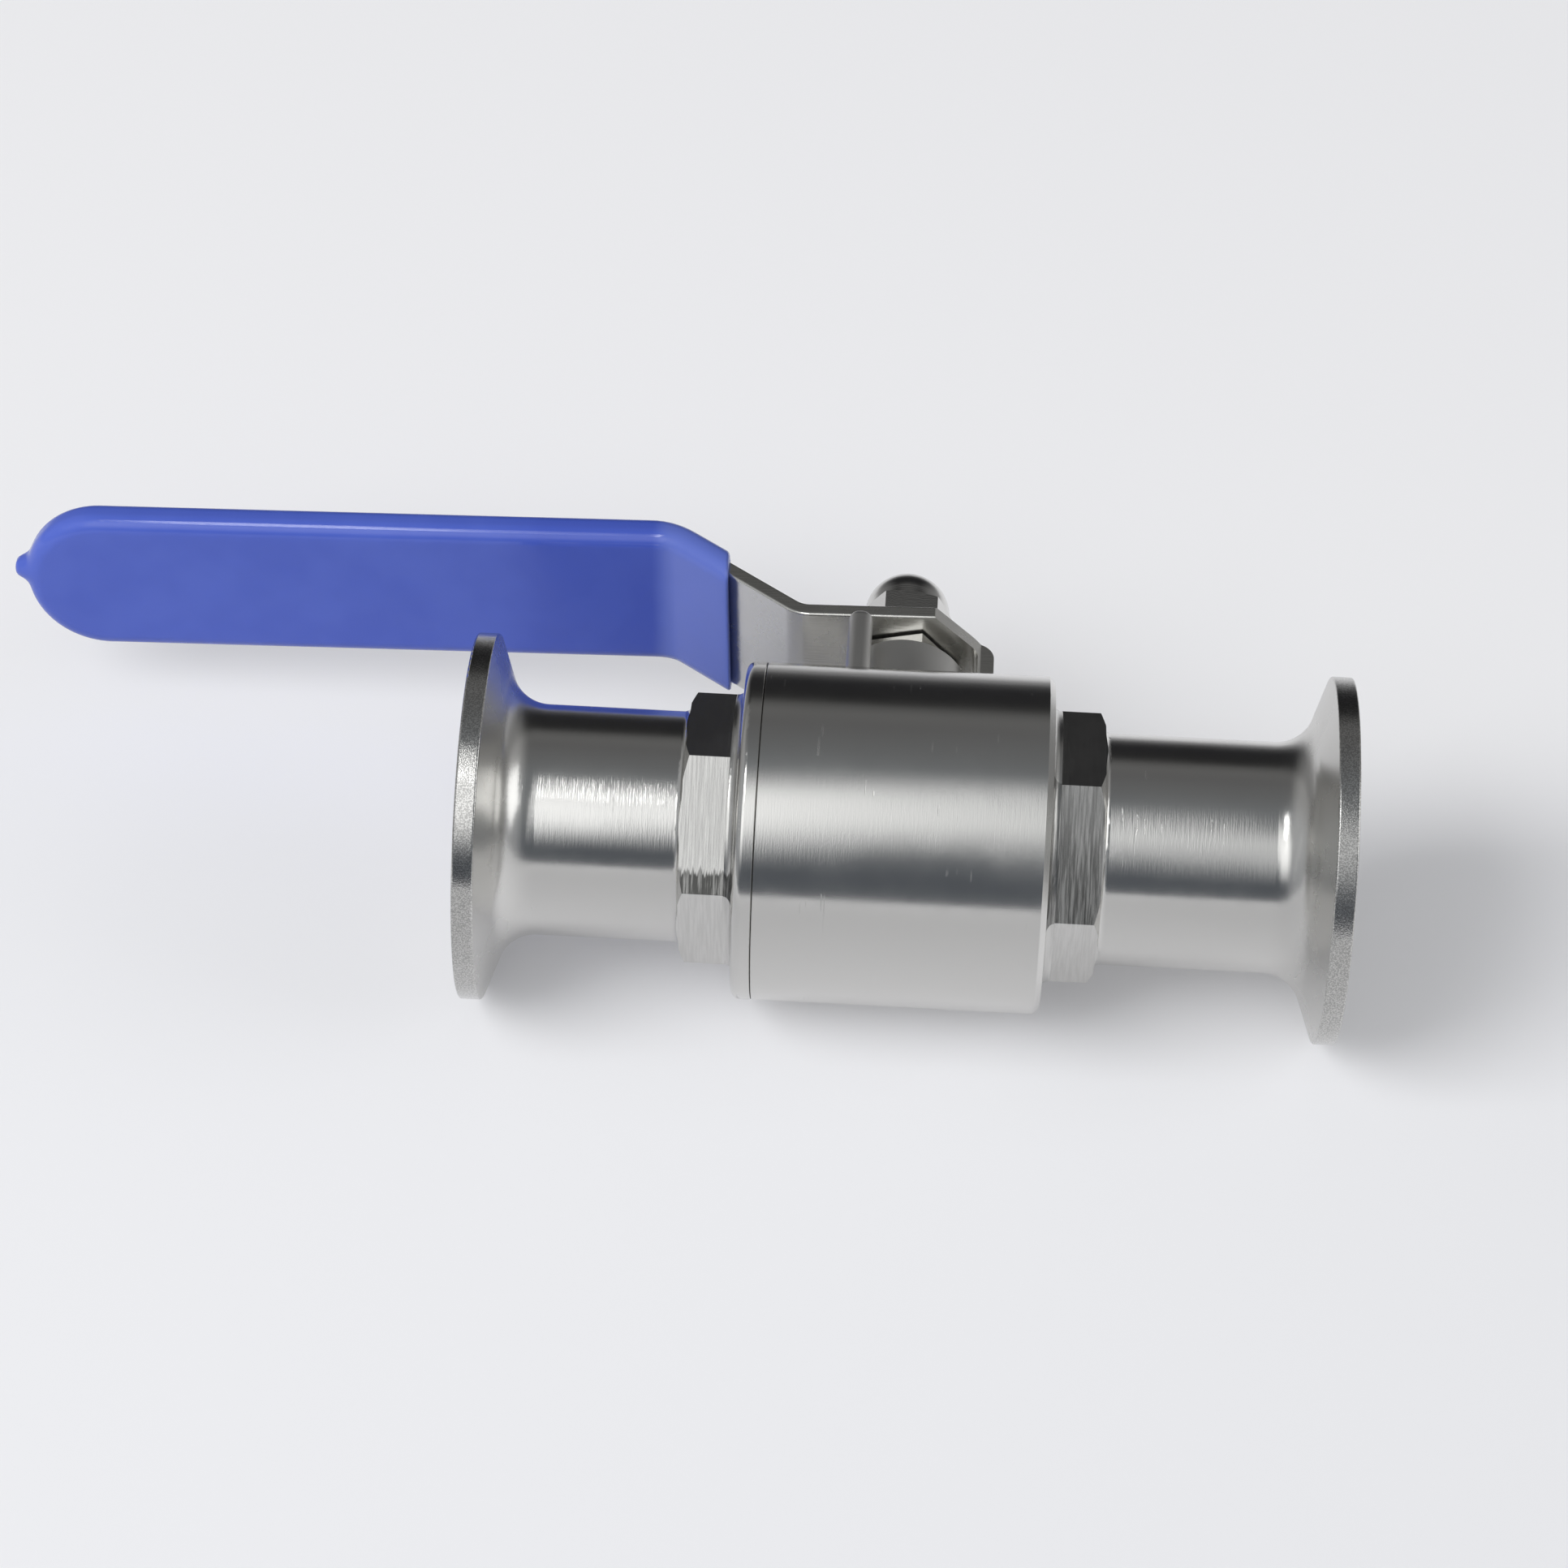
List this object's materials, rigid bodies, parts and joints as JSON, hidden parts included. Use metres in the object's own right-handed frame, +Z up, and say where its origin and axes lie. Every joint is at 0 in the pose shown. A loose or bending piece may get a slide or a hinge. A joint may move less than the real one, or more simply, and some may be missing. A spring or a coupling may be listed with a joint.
{
  "type": "clamp ball valve",
  "caption": "Full-bore ball valve with clamp-flange ends, a screwed end cap and a cranked quarter-turn lever in a dipped vinyl sleeve.",
  "frame": {"origin": "centre of the ball, where the flow axis and the stem axis cross", "axes": "+X along the flow axis towards the body's own clamp end, the end cap is on the -X side; +Z up the stem axis; the lever rests along -X in the open position"},
  "size_m": [0.1923, 0.0504, 0.0797],
  "materials": {
    "polished_steel": "turned and polished stainless steel",
    "turned_steel": "turned stainless steel",
    "lever_steel": "polished stainless sheet",
    "spring_steel": "stainless spring wire",
    "ball_steel": "mirror polished stainless steel",
    "seal_plastic": "white fluoroplastic",
    "seal_rubber": "black rubber",
    "blue_vinyl": "glossy blue dipped vinyl"
  },
  "bodies": {
    "valve": {"valve_body": "polished_steel", "end_cap": "polished_steel", "body_gasket": "seal_plastic", "seat_ring_body": "seal_plastic", "seat_ring_cap": "seal_plastic", "packing_bottom_ring": "seal_plastic", "packing_v_ring_lower": "seal_plastic", "packing_v_ring_middle": "seal_plastic", "packing_v_ring_upper": "seal_plastic", "packing_top_ring": "seal_plastic", "gland_ring": "turned_steel", "gland_nut": "turned_steel"},
    "handle": {"stem": "turned_steel", "stem_thrust_washer": "seal_plastic", "stem_o_ring": "seal_rubber", "lever": "lever_steel", "lever_grip": "blue_vinyl", "spring_washer": "spring_steel", "stem_nut": "polished_steel"},
    "ball": {"ball": "ball_steel"}
  },
  "joints": [
    {"name": "lever_turn", "type": "hinge", "parent": "valve", "child": "handle", "pos_m": [0, 0, 0], "axis": [0, 0, -1], "range_deg": [0, 90]},
    {"name": "ball_turn", "type": "hinge", "parent": "valve", "child": "ball", "pos_m": [0, 0, 0], "axis": [0, 0, -1], "range_deg": [0, 90]}
  ],
  "couplings": [
    {"joint": "ball_turn", "follows": "lever_turn", "ratio": 1}
  ]
}
